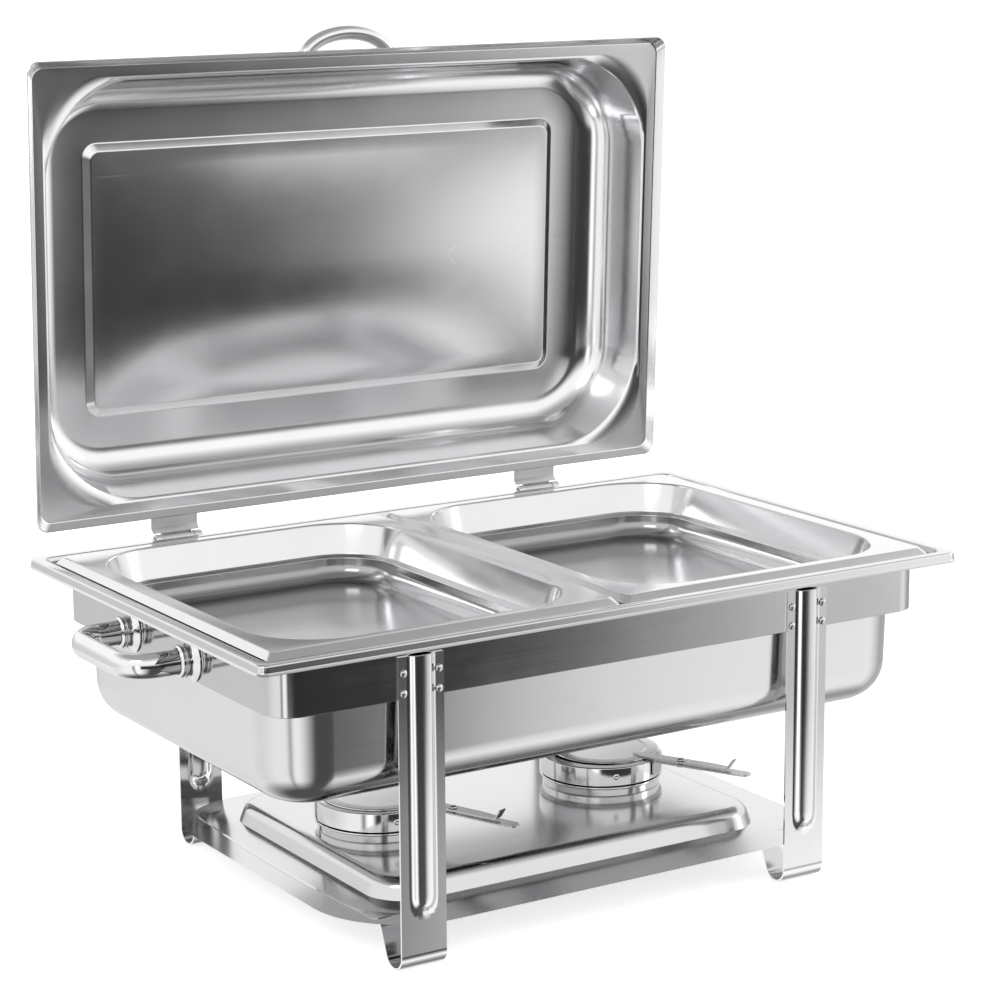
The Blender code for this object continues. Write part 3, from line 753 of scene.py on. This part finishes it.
def build_cover(side, cover):
    """The cover disc, with a raised rim and a flat middle."""
    low_box, high_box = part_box(f"cover_disc_{side}")
    disc_middle = ((low_box + high_box) / 2 - MIDDLE) / METRES_PER_MM
    low = BAND_TOP + GAP
    profile = [(0.1, low + 0.8, 0), (29.5, low + 0.8, 1.0), (30.4, low + 1.0, 0.6)]
    profile += [(39.2, low + 1.0, 0.5), (COVER_RADIUS, low + 0.3, 0.3), (COVER_RADIUS, low, 0)]
    disc = loft([circle(r, z, disc_middle.xy) for r, z in rounded(profile, 4)])
    piece(f"cover_disc_{side}_plate", disc, "covers", cover, [f"cover_disc_{side}"])


def build_lever(side, cover, turn, pivot_reach):
    """The strip that swings the cover, pointed at its inner end and bent up at its outer one."""
    level, end = BAND_TOP + 2.4, pivot_reach + LEVER_PAST_PIVOT
    path = [(LEVER_START + 3.0 * k, level) for k in range(5)] + [(end - 14, level), (end - 3.0, level)]
    path += rounded([(end - 2.0, level, 0), (end, level, 1.6), (end + 4.0, level + 6.5, 0)], 5)
    widths = [min(4.8, 0.8 + 0.5 * (x - LEVER_START)) if x < end - 10 else 3.4 for x, _ in path]
    mesh = placed(bent_strip(path, LEVER_SHEET, widths), HOLDERS[side], turn)
    piece(f"cover_lever_{side}_strip", mesh, "levers", cover, [f"cover_lever_{side}"], 40)


def build_pivot(side, body, pivot):
    """The rivet that the cover swings on."""
    stem = [(3.0, -2.3), (3.0, -1.1), (1.6, -1.1), (1.6, 2.7)]
    head = [(3.2, 2.7), (3.1, 3.1)] + dome(3.0, 1.0, 3.1, 7, 12)
    rivet = spool(stem + head, pivot, (0, 0, 1))
    piece(f"cover_pivot_{side}_rivet", rivet, "rivets", body, [f"cover_pivot_{side}"])


def build_holder(side):
    """One fuel holder, its strips pointing the way that its cover's pivot lies."""
    centre = HOLDERS[side]
    pivot = (Vector(JOINTS[f"fuel_cover_{side}_swivel"]["pos_m"]) - MIDDLE) / METRES_PER_MM
    reach = Vector((pivot.x - centre[0], pivot.y - centre[1]))
    turn = math.atan2(reach.y, reach.x)
    body, cover = f"fuel_holder_{side}", f"fuel_cover_{side}"
    build_cup(side, body)
    build_band(side, body)
    build_fuel_handle(side, body, turn, reach.length)
    build_cover(side, cover)
    build_lever(side, cover, turn, reach.length)
    build_pivot(side, body, pivot)


# ---- hinges ------------------------------------------------------------------------------


def finish_hinges():
    """The hinge leaves, brackets and pins keep their CAD shape and get their finish."""
    for side in SIDES:
        for part in ("leaf", "bracket", "pin"):
            node = frame["nodes"][f"hinge_{part}_{side}"]
            node.data.materials.clear()
            node.data.materials.append(STEEL["hinges"])


# ---- studio ------------------------------------------------------------------------------

CAMERA_AT = (-1063.0, -1688.0, 689.9)
CAMERA_YAW, CAMERA_PITCH, CAMERA_ROLL = 32.19, 12.0, -0.387
CAMERA_LENS = 103.86


def build_camera():
    """The camera, placed from the middle of the stand."""
    yaw, pitch, roll = (math.radians(a) for a in (CAMERA_YAW, CAMERA_PITCH, CAMERA_ROLL))
    forward = Vector((math.sin(yaw) * math.cos(pitch), math.cos(yaw) * math.cos(pitch), -math.sin(pitch)))
    level = Vector((math.cos(yaw), -math.sin(yaw), 0))
    right = math.cos(roll) * level + math.sin(roll) * level.cross(forward)
    up = right.cross(forward)
    camera = bpy.data.objects.new("camera", bpy.data.cameras.new("camera"))
    camera.data.sensor_width = 36.0
    camera.data.lens = CAMERA_LENS
    matrix = Matrix((right, up, -forward)).transposed().to_4x4()
    matrix.translation = Vector(CAMERA_AT) * METRES_PER_MM + MIDDLE
    camera.matrix_world = matrix
    bpy.context.scene.collection.objects.link(camera)
    bpy.context.scene.camera = camera


def disc_floor(name, inner, outer):
    """A ring of the floor between two radii in metres, or a disc if the inner one is tiny."""
    mesh = bmesh.new()
    rings = [[mesh.verts.new(point) for point in circle(radius, 0.0)] for radius in (inner, outer)]
    for i, first in enumerate(rings[0]):
        j = (i + 1) % len(rings[0])
        mesh.faces.new((first, rings[1][i], rings[1][j], rings[0][j]))
    if inner < 0.01:
        bmesh.ops.remove_doubles(mesh, verts=rings[0], dist=0.02)
    bmesh.ops.recalc_face_normals(mesh, faces=mesh.faces)
    data = bpy.data.meshes.new(name)
    mesh.to_mesh(data)
    mesh.free()
    data.materials.append(FLOOR)
    thing = bpy.data.objects.new(name, data)
    bpy.context.scene.collection.objects.link(thing)
    return thing


FLOOR = plain_floor()
TABLE_RADIUS, FLOOR_RADIUS = 0.75, 40.0
CEILING_LIGHT = 1.35
OVERHEAD_LIGHT = 0.5
UNDER_LIGHT = 0.12
# The studio's light round the horizon. Each row is a bearing in degrees (0 is in front, 90 to the
# right), then the light a little below eye level, lower down, and far down.
STUDIO_LIGHT = [
    (-180, 0.75, 0.75, 1.0), (-150, 0.95, 0.95, 1.2), (-115, 0.95, 0.95, 1.1), (-85, 1.25, 1.25, 1.3),
    (-62, 1.3, 1.3, 1.3), (-55, 0.25, 0.25, 0.4), (-48, 1.6, 1.6, 1.4), (-40, 1.6, 1.6, 1.4),
    (-33, 0.04, 0.04, 1.2), (-8, 0.04, 0.04, 0.1), (20, 0.07, 0.035, 0.1), (25, 0.12, 0.035, 0.1),
    (29, 0.25, 0.035, 0.1), (31.5, 0.42, 0.06, 0.6), (35, 0.85, 0.3, 1.15), (39, 1.25, 0.75, 1.3),
    (45, 1.4, 0.95, 1.35), (60, 1.3, 1.3, 1.3), (95, 0.5, 0.5, 0.6), (125, 0.55, 0.55, 0.7),
    (150, 0.85, 0.85, 0.9), (180, 0.75, 0.75, 1.0),
]


def build_floor():
    """A pale floor. Steel doesn't mirror it, but mirrors the studio's own lower light instead."""
    for name, inner, outer in (("table", 0.001, TABLE_RADIUS), ("far_floor", TABLE_RADIUS, FLOOR_RADIUS)):
        disc_floor(name, inner, outer).visible_glossy = False


LIGHTS_AIM = Vector((0, 0, 0.25))


def softbox(name, size, power, position):
    """A rectangular light that faces the middle of the object."""
    light = bpy.data.lights.new(name, "AREA")
    light.shape = "RECTANGLE"
    light.size, light.size_y = size
    light.energy = power
    thing = bpy.data.objects.new(name, light)
    thing.location = position
    thing.rotation_euler = (LIGHTS_AIM - Vector(position)).to_track_quat("-Z", "Y").to_euler()
    bpy.context.scene.collection.objects.link(thing)


def ring_of_light(nodes, share, column):
    """A ramp round the horizon from one column of the studio's light."""
    ramp = nodes.add("ShaderNodeValToRGB")
    nodes.link(share, ramp.inputs["Fac"])
    stops = ramp.color_ramp.elements
    for number, row in enumerate(STUDIO_LIGHT):
        stop = stops[number] if number < 2 else stops.new(1.0)
        stop.position = (row[0] + 180) / 360
        stop.color = (row[column], row[column], row[column], 1)
    return ramp.outputs["Color"]


def mixed(nodes, first, second, height, start, full):
    """Blends one light into another between two heights of the direction."""
    mix = nodes.add("ShaderNodeMix")
    nodes.link(nodes.ranged(height, start, full, 0.0, 1.0), mix.inputs["Factor"])
    for value, socket in ((first, "A"), (second, "B")):
        if isinstance(value, float):
            mix.inputs[socket].default_value = value
        else:
            nodes.link(value, mix.inputs[socket])
    return mix.outputs["Result"]


def build_world():
    """A studio: a bright ceiling over a room that is dark in front and light on the other sides.

    Each band of light takes over from the one before it between two heights of the direction.
    """
    world = bpy.data.worlds.new("studio")
    world.use_nodes = True
    bpy.context.scene.world = world
    nodes = Nodes(world.node_tree)
    background = world.node_tree.nodes["Background"]
    direction = nodes.add("ShaderNodeTexCoord").outputs["Generated"]
    split = nodes.add("ShaderNodeSeparateXYZ")
    nodes.link(direction, split.inputs[0])
    behind = nodes.maths("MULTIPLY", split.outputs["Y"], -1.0)
    bearing = nodes.maths("ARCTAN2", split.outputs["X"], behind)
    share = nodes.ranged(bearing, -math.pi, math.pi, 0.0, 1.0)
    upper, middle, lower = (ring_of_light(nodes, share, column) for column in (1, 2, 3))
    height = split.outputs["Z"]
    light = upper
    bands = [(CEILING_LIGHT, -0.03, 0.2), (OVERHEAD_LIGHT, 0.55, 0.85), (middle, -0.19, -0.23)]
    bands += [(lower, -0.275, -0.32), (UNDER_LIGHT, -0.7, -0.95)]
    for value, start, full in bands:
        light = mixed(nodes, light, value, height, start, full)
    nodes.link(light, background.inputs["Strength"])
    background.inputs["Color"].default_value = (1, 1, 1, 1)


def build_studio():
    """The camera, the floor and all the light."""
    build_camera()
    build_floor()
    build_world()
    softbox("key", (1.2, 0.8), 9.0, (-1.9, -1.3, 1.9))
    softbox("right", (0.5, 1.4), 6.0, (2.1, -1.2, 0.8))
    bpy.context.scene.view_settings.view_transform = "Standard"


def build():
    build_skirt()
    build_legs()
    build_rivets()
    build_shelf()
    build_water_pan()
    build_food_pans()
    build_lid()
    build_side_handles()
    build_lid_handle()
    for side in SIDES:
        build_holder(side)
    finish_hinges()
    build_studio()


build()
